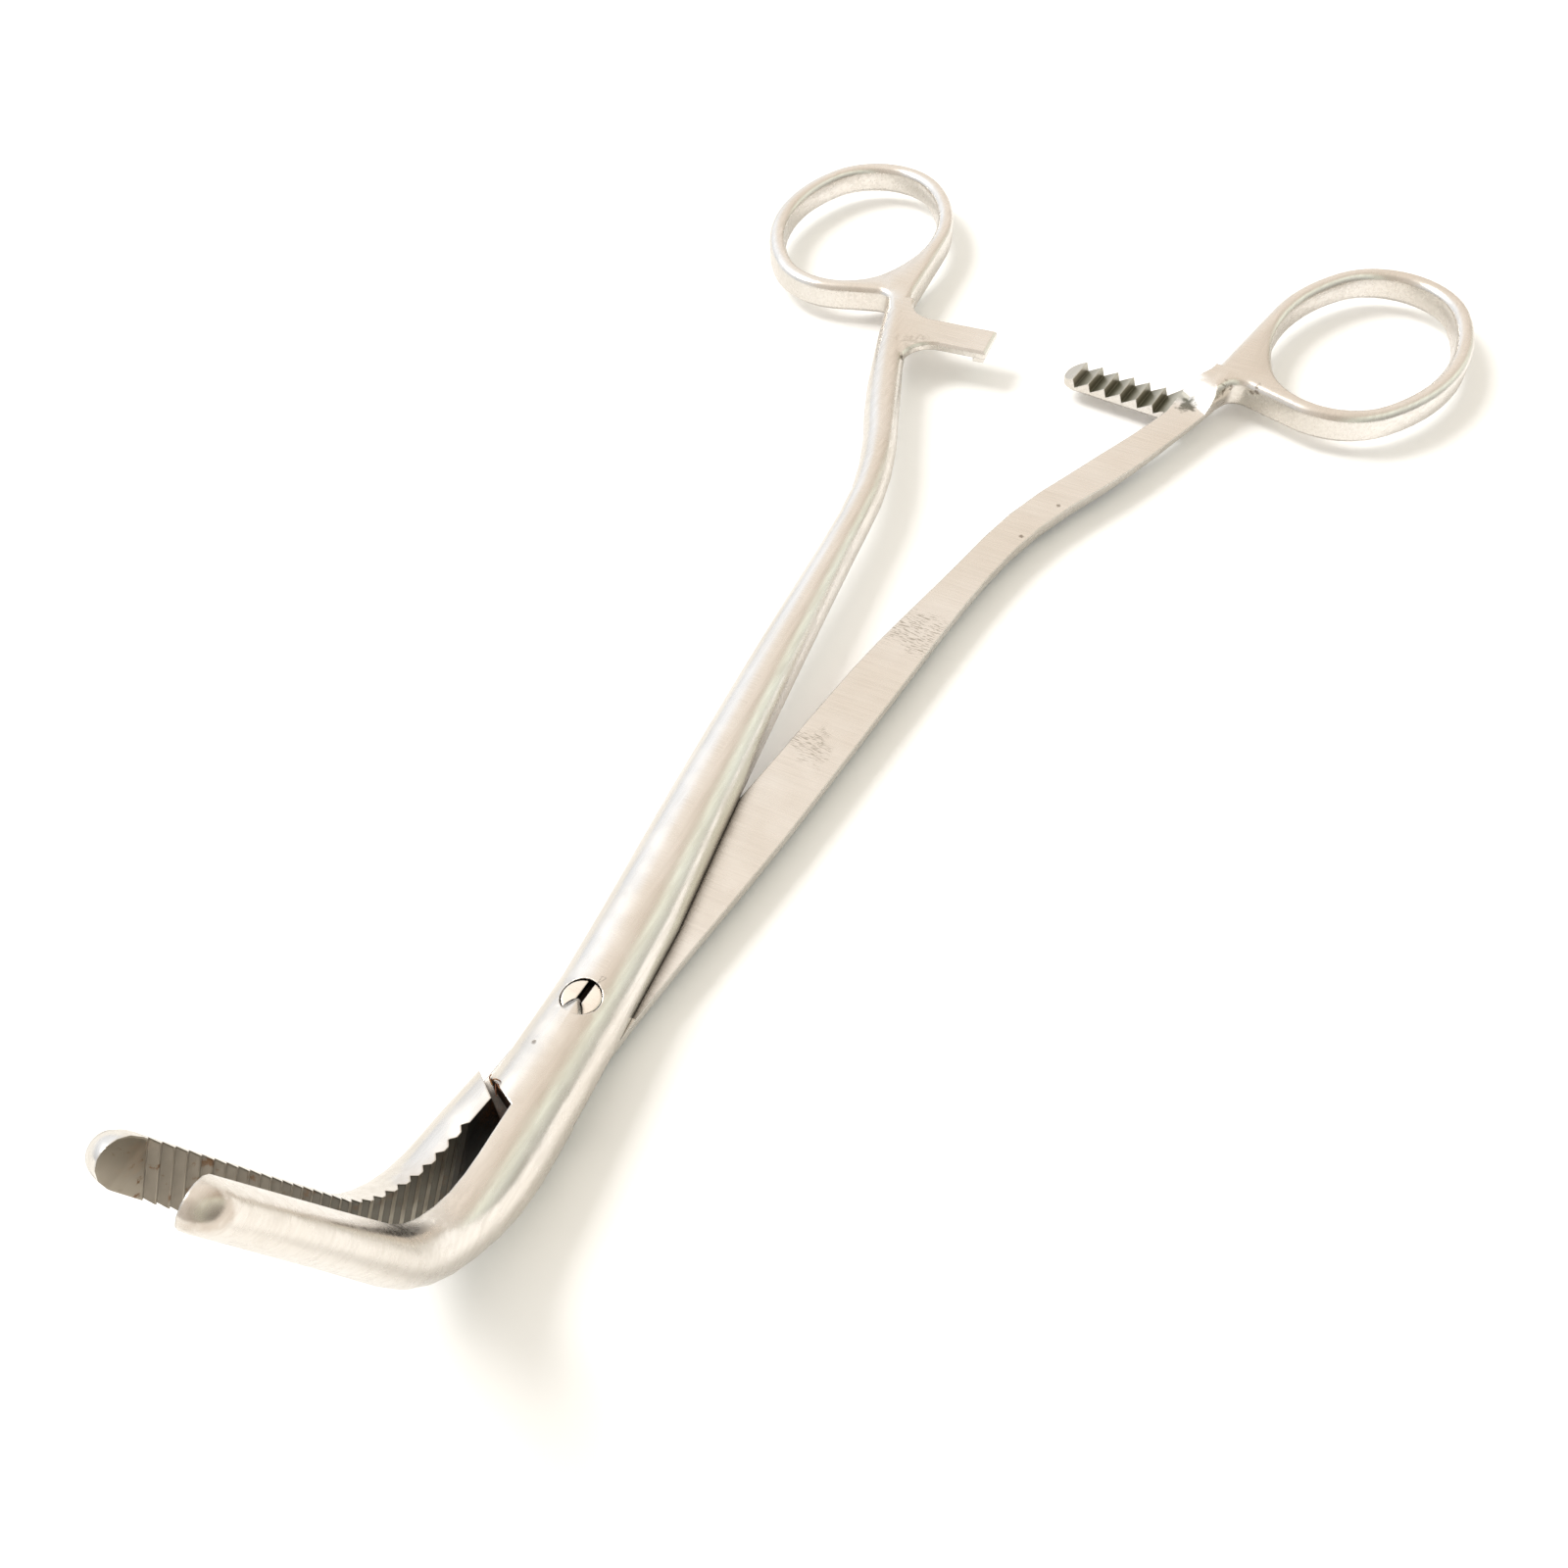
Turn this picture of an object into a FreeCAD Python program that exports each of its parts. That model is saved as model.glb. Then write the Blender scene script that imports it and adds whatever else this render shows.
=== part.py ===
import FreeCAD, Part

import Sketcher
import math
import os

# A curved clamp of the kind that has a ring handle, a ratchet and a screw joint. It is two forged
# halves and one slotted screw. Each half is built as it lies with the clamp shut, with the pivot on
# the Z axis, the rings towards +Y and the lap faces at Z = 0, and is then opened about the pivot.
# The upper half has its handle on the -X side and its jaw on the +X side. The lower half is the
# other way round.

SIZES = [
    # joint
    ("opening_angle", 7.8, "degrees between the halves as the clamp lies, from the jaws shut"),
    ("handle_angle", 1.5, "degrees of each handle from the middle of the clamp with the jaws shut"),
    ("joint_width", 7.9, "across the joint at the screw"),
    ("joint_height", 8.0, "both halves together at the screw"),
    ("lap_clearance", 0.06, "between the two lap faces"),
    ("shoulder_station", 12.3, "pivot to the shoulder at the middle of the clamp"),
    ("shoulder_slope", 0.58, "rise of the shoulder towards the pivot for each mm outwards"),
    ("shoulder_clearance", 0.3, "between a shoulder and the jaw in front of it"),
    # jaws, given as one closed rod
    ("rod_rise", 4.0, "degrees by which the rod rises in front of the pivot"),
    ("shoulder_width", 8.9, "of the rod where the jaws begin"),
    ("shoulder_height", 8.5, "of the rod where the jaws begin"),
    ("bend_start", 15.9, "pivot to the start of the bend, along the rod"),
    ("bend_radius", 15.5, "of the middle of the rod"),
    ("jaw_angle", 73.5, "degrees between the jaws and the plane of the handles"),
    ("bend_start_height", 8.4, "of the rod"),
    ("bend_middle_width", 7.7, "of the rod"),
    ("bend_middle_height", 6.2, "of the rod"),
    ("bend_end_width", 7.0, "of the rod"),
    ("bend_end_height", 4.5, "of the rod"),
    ("jaw_reach", 28.7, "straight part of the jaws past the bend"),
    ("tip_width", 5.6, "of the rod before its round nose"),
    ("tip_height", 3.5, "of the rod before its round nose"),
    ("nose_length", 2.0, "of the round nose"),
    ("face_clearance", 0.2, "between the crests of the shut jaws"),
    # serrations
    ("serration_start", 17.6, "pivot to the first groove, along the rod"),
    ("serration_pitch", 1.5, "between grooves, along the rod"),
    ("serration_lean", 31.0, "degrees from the vertical, the same for every groove"),
    ("serration_width", 0.95, "of a groove at the face"),
    ("serration_depth", 0.5, "of a groove below the face"),
    ("upper_jaw_rim", 0.6, "smooth rim between the grooves and the hollow side of the upper jaw"),
    ("smooth_tip", 3.0, "end of the jaw that has no grooves"),
    ("bevel_length", 2.4, "of the smooth bevel at the tip of the face"),
    ("bevel_depth", 0.6, "of the bevel at the very tip"),
    # shanks
    ("seam_station", 12.0, "pivot to the back of the joint block"),
    ("quarter_station", 30.0, "pivot to the first quarter of the shank"),
    ("quarter_offset", 0.65, "middle of the shank there, outwards"),
    ("quarter_width", 6.9, "of the shank there"),
    ("quarter_crown", 3.85, "height of the shank there above its lap face"),
    ("middle_station", 52.0, "pivot to the middle of the shank"),
    ("upper_middle_offset", 1.1, "middle of the upper shank there"),
    ("lower_middle_offset", 0.5, "middle of the lower shank there"),
    ("upper_middle_width", 5.6, "of the upper shank there"),
    ("lower_middle_width", 6.2, "of the lower shank there"),
    ("middle_crown", 3.6, "height of the shank there"),
    ("waist_station", 77.0, "pivot to the waist, where the shanks begin to part"),
    ("waist_offset", 1.35, "middle of the shank there"),
    ("waist_width", 4.25, "of the shank there"),
    ("waist_crown", 3.3, "height of the shank there"),
    ("knee_station", 86.0, "pivot to the first knee"),
    ("knee_offset", 2.45, "middle of the shank there"),
    ("knee_width", 4.5, "of the shank there"),
    ("sway_station", 100.0, "pivot to the middle of the sway"),
    ("sway_offset", 6.5, "middle of the shank there"),
    ("sway_width", 5.0, "of the shank there"),
    ("sway_crown", 2.95, "height of the shank there"),
    ("root_station", 112.0, "pivot to the root of the ratchet arm"),
    ("root_offset", 9.7, "middle of the shank there"),
    ("root_width", 4.35, "of the shank there"),
    ("root_crown", 2.45, "height of the shank there"),
    ("neck_station", 121.0, "pivot to the neck"),
    ("neck_offset", 11.6, "middle of the neck"),
    ("neck_width", 4.3, "of the neck"),
    ("lap_end", 120.5, "pivot to the end of the flat lap face, at the root of the ratchet arm"),
    ("lap_slant", 31.0, "degrees by which the end of the lap face slants back, outwards"),
    ("lap_ramp", 3.6, "length of the ramp from the lap face to the ring's face"),
    # finger rings
    ("upper_ring_offset", 24.9, "centre of the upper ring, outwards from the handle's axis"),
    ("lower_ring_offset", 25.9, "centre of the lower ring, outwards from the handle's axis"),
    ("upper_ring_distance", 141.6, "pivot to the centre of the upper ring, along the handle"),
    ("lower_ring_distance", 142.1, "pivot to the centre of the lower ring, along the handle"),
    ("upper_hole_length", 33.4, "of the upper finger hole, along the handle"),
    ("lower_hole_length", 35.0, "of the lower finger hole, along the handle"),
    ("upper_hole_width", 23.1, "of the upper finger hole, across the handle"),
    ("lower_hole_width", 22.7, "of the lower finger hole, across the handle"),
    ("ring_end_radius", 9.0, "of the ends of the holes"),
    ("upper_ring_tilt", 4.5, "degrees by which the far end of the upper ring leans outwards"),
    ("lower_ring_tilt", 3.0, "degrees by which the far end of the lower ring leans outwards"),
    ("ring_wire_width", 2.4, "of the ring's wire, seen from above"),
    ("ring_wire_height", 4.15, "of the ring's wire, seen from the side"),
    ("ring_rounding", 1.1, "of the edges of the ring"),
    ("ring_neck_width", 2.4, "of the ring's plate inside the neck"),
    ("ring_neck_length", 1.5, "of the ring's plate inside the shank, in front of the neck"),
    ("shank_end_width", 3.7, "of the end of the shank inside the web"),
    ("shank_end_offset", 12.4, "middle of the end of the shank inside the web"),
    ("web_inner_station", 126.0, "pivot to the inner corner of the web"),
    ("web_inner_offset", 10.9, "inner corner of the web, outwards"),
    ("web_inner_fillet", 12.0, "at the inner corner of the web"),
    ("web_outer_station", 124.4, "pivot to the outer corner of the web"),
    ("web_outer_offset", 14.4, "outer corner of the web, outwards"),
    ("web_outer_fillet", 2.0, "at the outer corner of the web"),
    # ratchet
    ("upper_arm_station", 116.6, "pivot to the middle of the upper arm"),
    ("upper_arm_width", 5.7, "of the upper arm, along the handle"),
    ("upper_arm_reach", 3.7, "tip of the upper arm past the middle of the clamp"),
    ("upper_arm_bottom", 0.95, "underside of the upper arm above the lap face"),
    ("upper_arm_near_fillet", 4.0, "at the root, on the joint's side"),
    ("upper_arm_far_fillet", 4.0, "at the root, on the ring's side"),
    ("upper_arm_far_edge", 9.9, "inner side of the web at the upper arm"),
    ("upper_arm_bevel", 0.35, "of the top edges of the upper arm"),
    ("pawl_length", 1.5, "of the pawl hook under the tip"),
    ("pawl_inset", 0.3, "from the tip of the arm to the pawl hook"),
    ("pawl_clearance", 0.12, "height of the pawl's edge above the lap face"),
    ("lower_arm_station", 118.2, "pivot to the middle of the lower arm"),
    ("lower_arm_width", 4.6, "of the lower arm, along the handle"),
    ("lower_arm_reach", 7.6, "tip of the lower arm past the middle of the clamp"),
    ("lower_arm_bottom", 2.3, "underside of the lower arm below the lap face"),
    ("lower_arm_far_fillet", 5.5, "at the root, on the ring's side"),
    ("lower_arm_near_fillet", 1.0, "at the root, on the joint's side"),
    ("lower_arm_far_edge", 10.7, "inner side of the web at the lower arm"),
    ("lower_arm_tip_radius", 2.0, "of the rounded tip"),
    ("lower_arm_bevel", 0.6, "of the lower edges of the arm"),
    ("tooth_count", 6, "teeth on the lower arm"),
    ("tooth_pitch", 2.35, "between crests"),
    ("tooth_depth", 1.25, "of the notches"),
    ("tooth_clearance", 0.1, "depth of the crests below the lap face"),
    ("first_crest", 5.7, "crest nearest to the tip, past the middle of the clamp"),
    ("tooth_steep_run", 0.38, "length of the steep side of a tooth"),
    ("tooth_tip_drop", 2.0, "depth of the slope in front of the first crest"),
    # screw
    ("screw_head_diameter", 3.9, "of the flat head"),
    ("screw_head_height", 1.3, "of the head"),
    ("screw_diameter", 3.0, "of the shank and the thread"),
    ("screw_clearance", 0.04, "around the head and shank in the upper half"),
    ("thread_clearance", 0.02, "around the thread in the lower half"),
    ("screw_head_sink", 0.14, "of the head below the crown of the joint"),
    ("screw_bevel", 0.12, "of the edges of the screw"),
    ("slot_width", 0.75, "of the screwdriver slot"),
    ("slot_depth", 0.7, "of the screwdriver slot"),
    ("slot_angle", 1.5, "degrees of the slot from the long axis, towards +X"),
]

# Weight of the corners of an oval: 0.71 gives an ellipse, and more gives a fuller oval.
OVAL_FULLNESS = 0.9
# Spacing of the ovals of the lofts, where they run straight and where they bend.
STRAIGHT_SPACING = 8.0
BEND_SPACING = 2.7
SHANK_SPACING = 5.5
# Ovals of the round nose, as shares of its length, and the size of the last one.
NOSE_SHARES = (0.45, 0.78, 0.95, 1.0)
NOSE_END = 0.06
# How far a cutter stands proud of the face that it cuts, and how deep one piece of a half is sunk
# in the next before they are joined.
PROUD = 0.02
SUNK = 0.2
# Edges and faces this close to a level count as lying on it.
NEAR = 0.01

ACROSS = FreeCAD.Vector(1, 0, 0)
FORWARD = FreeCAD.Vector(0, 1, 0)
UP = FreeCAD.Vector(0, 0, 1)

doc = FreeCAD.newDocument("clamp")
sheet = doc.addObject("Spreadsheet::Sheet", "Sizes")
for row, (alias, value, note) in enumerate(SIZES, start=1):
    sheet.set("A%d" % row, alias)
    sheet.set("B%d" % row, str(value))
    sheet.set("C%d" % row, note)
    sheet.setAlias("B%d" % row, alias)
doc.recompute()


def size(alias):
    """The number in the cell with this alias."""
    return float(getattr(sheet, alias))


class Length:
    """A length that knows its number and the expression that gives it from the sheet."""

    def __init__(self, text, value):
        self.text = text
        self.value = value

    def __add__(self, other):
        other = length(other)
        return Length("(%s + %s)" % (self.text, other.text), self.value + other.value)

    def __sub__(self, other):
        other = length(other)
        return Length("(%s - %s)" % (self.text, other.text), self.value - other.value)

    def __mul__(self, factor):
        return Length("(%s * %r)" % (self.text, factor), self.value * factor)

    def __neg__(self):
        return self * -1.0


def length(source):
    """A Length from an alias, a number or another Length."""
    if isinstance(source, Length):
        return source
    if isinstance(source, str):
        return Length("Sizes." + source, size(source))
    return Length("%r" % float(source), float(source))


def bind(thing, prop, source):
    """Ties a property to the sheet."""
    thing.setExpression(prop, length(source).text)


# Sketches and bodies


def new_body(name):
    return doc.addObject("PartDesign::Body", name)


def new_sketch(body, name, role):
    """A sketch on one of the body's own origin planes."""
    sketch = body.newObject("Sketcher::SketchObject", name)
    plane = [item for item in body.Origin.OriginFeatures if item.Role == role][0]
    sketch.AttachmentSupport = [(plane, "")]
    sketch.MapMode = "FlatFace"
    return sketch


def place_vertex(sketch, edge, end, point):
    """Two dimensions from the sketch's origin, both tied to the sheet."""
    for kind, coordinate in (("DistanceX", point[0]), ("DistanceY", point[1])):
        coordinate = length(coordinate)
        index = sketch.addConstraint(Sketcher.Constraint(kind, edge, end, coordinate.value))
        sketch.setExpression("Constraints[%d]" % index, coordinate.text)


def draw_outline(sketch, points, arcs=None):
    """A closed outline through dimensioned corners. arcs maps the number of an edge to the
    middle point of the arc that takes the place of its straight line."""
    arcs = arcs or {}
    spots = [FreeCAD.Vector(length(x).value, length(y).value, 0) for x, y in points]
    for index, start in enumerate(spots):
        finish = spots[(index + 1) % len(spots)]
        if index in arcs:
            sketch.addGeometry(Part.Arc(start, arcs[index][0], finish), False)
        else:
            sketch.addGeometry(Part.LineSegment(start, finish), False)
    starts = {}
    ends = {}
    for index in range(len(spots)):
        first = sketch.getPoint(index, 1)
        forward = first.distanceToPoint(spots[index]) < 1e-6
        starts[index] = 1 if forward else 2
        ends[index] = 2 if forward else 1
    for index in range(len(spots)):
        following = (index + 1) % len(spots)
        joint = Sketcher.Constraint("Coincident", index, ends[index], following, starts[following])
        sketch.addConstraint(joint)
        place_vertex(sketch, index, starts[index], points[index])
    for index, (middle, radius) in arcs.items():
        number = sketch.addConstraint(Sketcher.Constraint("Radius", index, length(radius).value))
        sketch.setExpression("Constraints[%d]" % number, length(radius).text)


def pad(body, sketch, name, depth, downwards=False):
    feature = body.newObject("PartDesign::Pad", name)
    feature.Profile = sketch
    feature.Reversed = downwards
    bind(feature, "Length", depth)
    return feature


# Ovals and lofts


def oval(centre, across, upwards, half_width, above, below):
    """A closed oval of four quarter curves. above and below are its heights."""
    tips = [centre + across * half_width, centre + upwards * above,
            centre - across * half_width, centre - upwards * below]
    quarters = []
    for index, tip in enumerate(tips):
        following = tips[(index + 1) % 4]
        curve = Part.BezierCurve()
        curve.setPoles([tip, tip + following - centre, following])
        curve.setWeight(2, OVAL_FULLNESS)
        quarters.append(curve.toBSpline().toShape())
    return Part.Wire(quarters)


def smooth(stations, place):
    """Values at a place between stations, each of which is (place, value, value, ...). They run
    along smooth curves that never swing past a station's value."""
    places = [station[0] for station in stations]
    place = min(max(place, places[0]), places[-1])
    index = 0
    while index < len(places) - 2 and place > places[index + 1]:
        index += 1
    step = places[index + 1] - places[index]
    share = (place - places[index]) / step
    values = []
    for column in range(1, len(stations[0])):
        start, finish = stations[index][column], stations[index + 1][column]
        leaving = gentle_slope(stations, index, column) * step
        arriving = gentle_slope(stations, index + 1, column) * step
        rest = 1 - share
        values.append(start * rest * rest * (1 + 2 * share) + leaving * share * rest * rest
                      + finish * share * share * (3 - 2 * share) - arriving * share * share * rest)
    return values


def gentle_slope(stations, index, column):
    """Slope at a station: none where the values turn, else between the slopes on both sides."""
    if index in (0, len(stations) - 1):
        index = min(max(index, 1), len(stations) - 1)
        before, after = stations[index - 1], stations[index]
        return (after[column] - before[column]) / (after[0] - before[0])
    before, here, after = stations[index - 1:index + 2]
    first = (here[column] - before[column]) / (here[0] - before[0])
    second = (after[column] - here[column]) / (after[0] - here[0])
    if first * second <= 0:
        return 0
    return 2 * first * second / (first + second)


def spread(start, finish, spacing):
    """Evenly spread places from start up to, but without, finish."""
    count = max(1, round((finish - start) / spacing))
    return [start + (finish - start) * index / count for index in range(count)]


def rod_point(distance):
    """Centre of the closed rod, and the direction of its height, at a distance from the pivot."""
    rise = math.radians(size("rod_rise"))
    start = size("bend_start")
    radius = size("bend_radius")
    turn = math.radians(size("jaw_angle")) - rise
    angle = rise + min(max((distance - start) / radius, 0), turn)
    straight = min(distance, start)
    y = -straight * math.cos(rise) - radius * (math.sin(angle) - math.sin(rise))
    z = straight * math.sin(rise) + radius * (math.cos(rise) - math.cos(angle))
    beyond = max(distance - start - radius * turn, 0)
    y -= beyond * math.cos(angle)
    z += beyond * math.sin(angle)
    return FreeCAD.Vector(0, y, z), FreeCAD.Vector(0, math.sin(angle), math.cos(angle))


def bend_length():
    return math.radians(size("jaw_angle") - size("rod_rise")) * size("bend_radius")


def rod_length():
    return size("bend_start") + bend_length() + size("jaw_reach")


def rod_stations():
    """Distance from the pivot, width and height of the rod where its size is given."""
    start = size("bend_start")
    middle = start + bend_length() / 2
    end = start + bend_length()
    return [
        (-size("seam_station"), size("joint_width"), size("joint_height")),
        (0, size("joint_width"), size("joint_height")),
        (size("shoulder_station"), size("shoulder_width"), size("shoulder_height")),
        (start, size("shoulder_width"), size("bend_start_height")),
        (middle, size("bend_middle_width"), size("bend_middle_height")),
        (end, size("bend_end_width"), size("bend_end_height")),
        (rod_length() - size("nose_length"), size("tip_width"), size("tip_height")),
    ]


def rod_distances():
    """Where the ovals of the rod are: close together in the bend and far apart elsewhere."""
    start = size("bend_start")
    end = start + bend_length()
    last = rod_length() - size("nose_length")
    return (spread(-size("seam_station"), start, STRAIGHT_SPACING)
            + spread(start, end, BEND_SPACING)
            + spread(end, last, STRAIGHT_SPACING) + [last])


def handle_turn(outwards):
    """Turn of a handle about the pivot, away from the other handle."""
    return FreeCAD.Rotation(UP, -outwards * size("handle_angle"))


def make_rod(half, outwards):
    """Joint block and both jaws as one closed rod: a loft of ovals that ends in a round nose. Its
    back end runs the way of one handle."""
    nose = size("nose_length")
    last = rod_length() - nose
    wires = []
    for distance in rod_distances():
        centre, upwards = rod_point(distance)
        across = ACROSS
        if distance < 0:
            centre = handle_turn(outwards).multVec(FORWARD * -distance)
            across = handle_turn(outwards).multVec(ACROSS)
            upwards = UP
        width, height = smooth(rod_stations(), distance)
        wires.append(oval(centre, across, upwards, width / 2, height / 2, height / 2))
    for share in NOSE_SHARES:
        centre, upwards = rod_point(last + nose * share)
        shrink = math.sqrt(max(1 - share ** 2, NOSE_END ** 2))
        width, height = size("tip_width") * shrink, size("tip_height") * shrink
        wires.append(oval(centre, ACROSS, upwards, width / 2, height / 2, height / 2))
    rod = doc.addObject("Part::Feature", half + "_rod")
    rod.Shape = Part.makeLoft(wires, True, True)
    return rod


# Space of one half


def make_space(name):
    """The space that the upper half fills of the closed rod: above the lap face it reaches across
    the whole joint back from its shoulder, and in front of the shoulders it has the +X side at its
    full height."""
    body = new_body(name)
    side = length("shoulder_width")
    back = length("seam_station") * 2.0
    front = -(length("shoulder_station") + length("bend_start") + length("bend_radius")
              + length("jaw_reach"))
    face = length("face_clearance") * 0.5
    corner = -length("shoulder_station")
    slope = size("shoulder_slope")
    above = new_sketch(body, name + "_above", "XY_Plane")
    draw_outline(above, [
        (-side, corner + side * slope),
        (face, corner),
        (face, front),
        (side, front),
        (side, back),
        (-side, back),
    ])
    bind(above, "AttachmentOffset.Base.z", length("lap_clearance") * 0.5)
    pad(body, above, name + "_top", length("jaw_reach") * 2.0)
    below = new_sketch(body, name + "_below", "XY_Plane")
    rear = corner - length("shoulder_clearance")
    draw_outline(below, [
        (face, rear),
        (face, front),
        (side, front),
        (side, rear + side * slope),
    ])
    bind(below, "AttachmentOffset.Base.z", length("lap_clearance") * 0.5)
    pad(body, below, name + "_bottom", length("jaw_reach") * 2.0, downwards=True)
    return body


# Shanks


def shank_stations(half):
    """Station, offset, width and crown of the shank, from the joint to inside the ring's neck."""
    wire = size("ring_wire_height") / 2
    return [
        (size("seam_station"), 0, size("joint_width"), size("joint_height") / 2),
        (size("quarter_station"), size("quarter_offset"), size("quarter_width"),
         size("quarter_crown")),
        (size("middle_station"), size(half + "_middle_offset"), size(half + "_middle_width"),
         size("middle_crown")),
        (size("waist_station"), size("waist_offset"), size("waist_width"), size("waist_crown")),
        (size("knee_station"), size("knee_offset"), size("knee_width"), size("waist_crown")),
        (size("sway_station"), size("sway_offset"), size("sway_width"), size("sway_crown")),
        (size("root_station"), size("root_offset"), size("root_width"), size("root_crown")),
        (size("neck_station"), size("neck_offset"), size("neck_width"), wire + NEAR * 5),
        (size("neck_station") + size("neck_width"), size("shank_end_offset"),
         size("shank_end_width"), wire - SUNK),
    ]


def make_shank(half, outwards, crown):
    """Loft of ovals. outwards is the handle's side along X, and crown is the side of the round
    back along Z."""
    across = FreeCAD.Vector(outwards, 0, 0)
    upwards = FreeCAD.Vector(0, 0, crown)
    wire = size("ring_wire_height") / 2
    stations = shank_stations(half)
    bend = size("middle_station")
    places = (spread(stations[0][0], bend, STRAIGHT_SPACING)
              + spread(bend, stations[-1][0], SHANK_SPACING) + [stations[-1][0]])
    wires = []
    for place in places:
        offset, width, height = smooth(stations, place)
        centre = FreeCAD.Vector(outwards * offset, place, 0)
        wires.append(oval(centre, across, upwards, width / 2, height, min(wire, height)))
    shank = doc.addObject("Part::Feature", half + "_shank")
    shank.Shape = Part.makeLoft(wires, True, True)
    return shank


def shank_edge(half, station):
    """Inner side of the shank in the plan."""
    offset, width, height = smooth(shank_stations(half), station)
    return offset - width / 2


def make_lap_cutter(half, outwards, crown):
    """Takes away the side of the other half, down to the flat lap face, with a slanting ramp
    from there to the face of the ring."""
    slant = math.radians(size("lap_slant"))
    along = FreeCAD.Vector(outwards * math.cos(slant), -math.sin(slant), 0)
    forward = FreeCAD.Vector(outwards * math.sin(slant), math.cos(slant), 0)
    corner_offset = size("root_offset") - size("root_width") / 2
    end = corner_offset * math.sin(slant) + size("lap_end") * math.cos(slant)
    flat = size("lap_clearance") / 2
    low = -size("ring_wire_height") / 2
    depth = -size("joint_height")
    run = size("lap_ramp") * (depth - flat) / (low - flat)
    reach = size("lower_ring_distance")
    corners = [(-reach, flat), (end, flat), (end + run, depth), (-reach, depth)]
    points = [forward * y + FreeCAD.Vector(0, 0, crown * z) - along * reach for y, z in corners]
    cutter = doc.addObject("Part::Feature", half + "_lap_cutter")
    cutter.Shape = Part.Face(Part.makePolygon(points + points[:1])).extrude(along * (2 * reach))
    return cutter


# Finger rings


def ring_place(half, x, y):
    """Point in the plan, from a point given from the ring's centre along the ring's own axes."""
    centre = FreeCAD.Vector(size(half + "_ring_offset"), size(half + "_ring_distance"), 0)
    turn = FreeCAD.Rotation(UP, -size(half + "_ring_tilt"))
    return centre + turn.multVec(FreeCAD.Vector(x, y, 0))


def ring_arcs(half, grow):
    """Centre and radius of the four arcs of an oval around the finger hole: inner side, far end,
    outer side and near end."""
    half_width = size(half + "_hole_width") / 2
    half_length = size(half + "_hole_length") / 2
    end = size("ring_end_radius")
    run = half_length - end
    side = (half_width ** 2 + run ** 2 - end ** 2) / (2 * (half_width - end))
    return [
        (ring_place(half, side - half_width, 0), side + grow),
        (ring_place(half, 0, run), end + grow),
        (ring_place(half, half_width - side, 0), side + grow),
        (ring_place(half, 0, -run), end + grow),
    ]


def meeting_point(arcs, index):
    """Where an arc of the oval runs into the next one."""
    one, other = arcs[index % 4], arcs[(index + 1) % 4]
    large, small = (one, other) if one[1] > other[1] else (other, one)
    return large[0] + (small[0] - large[0]).normalize() * large[1]


def arc_edge(arc, start, finish):
    """Edge along an arc, the short way from start to finish."""
    centre, radius = arc
    middle = centre + ((start - centre) + (finish - centre)).normalize() * radius
    return Part.Arc(start, middle, finish).toShape()


def touching_point(arc, outside, side):
    """Where a straight line from a point outside touches an arc."""
    centre, radius = arc
    away = outside - centre
    turn = math.degrees(side * math.acos(radius / away.Length))
    return centre + FreeCAD.Rotation(UP, turn).multVec(away).normalize() * radius


def hollow_corner(before, corner, after, radius):
    """Arc of this radius in a corner between two straight lines, as its three points."""
    back = (before - corner).normalize()
    ahead = (after - corner).normalize()
    half_angle = back.getAngle(ahead) / 2
    middle = (back + ahead).normalize()
    run = radius / math.tan(half_angle)
    deep = radius / math.sin(half_angle) - radius
    return corner + back * run, corner + middle * deep, corner + ahead * run


def make_plate(half, outwards):
    """Plate in the outline of the ring, its web and its neck."""
    neck = size("neck_offset")
    start = size("neck_station") - size("ring_neck_length")
    inner_start = FreeCAD.Vector(neck - size("ring_neck_width") / 2, start, 0)
    outer_start = FreeCAD.Vector(neck + size("ring_neck_width") / 2, start, 0)
    inner = FreeCAD.Vector(size("web_inner_offset"), size("web_inner_station"), 0)
    outer = FreeCAD.Vector(size("web_outer_offset"), size("web_outer_station"), 0)
    arcs = ring_arcs(half, size("ring_wire_width"))
    first = touching_point(arcs[0], inner, -1)
    last = touching_point(arcs[3], outer, 1)
    joints = [meeting_point(arcs, index) for index in range(4)]
    bend_in = hollow_corner(inner_start, inner, first, size("web_inner_fillet"))
    bend_out = hollow_corner(last, outer, outer_start, size("web_outer_fillet"))
    outline = [
        Part.makeLine(inner_start, bend_in[0]),
        Part.Arc(*bend_in).toShape(),
        Part.makeLine(bend_in[2], first),
        arc_edge(arcs[0], first, joints[0]),
        arc_edge(arcs[1], joints[0], joints[1]),
        arc_edge(arcs[2], joints[1], joints[2]),
        arc_edge(arcs[3], joints[2], last),
        Part.makeLine(last, bend_out[0]),
        Part.Arc(*bend_out).toShape(),
        Part.makeLine(bend_out[2], outer_start),
        Part.makeLine(outer_start, inner_start),
    ]
    arcs = ring_arcs(half, 0)
    joints = [meeting_point(arcs, index) for index in range(4)]
    hole = [arc_edge(arcs[index], joints[index - 1], joints[index]) for index in range(4)]
    plate = Part.Face(Part.Wire(outline)).cut(Part.Face(Part.Wire(hole)))
    height = size("ring_wire_height")
    solid = plate.extrude(FreeCAD.Vector(0, 0, height))
    solid.translate(FreeCAD.Vector(0, 0, -height / 2))
    if outwards < 0:
        solid = solid.mirror(FreeCAD.Vector(), FreeCAD.Vector(1, 0, 0))
    feature = doc.addObject("Part::Feature", half + "_ring_plate")
    feature.Shape = solid
    return feature


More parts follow.
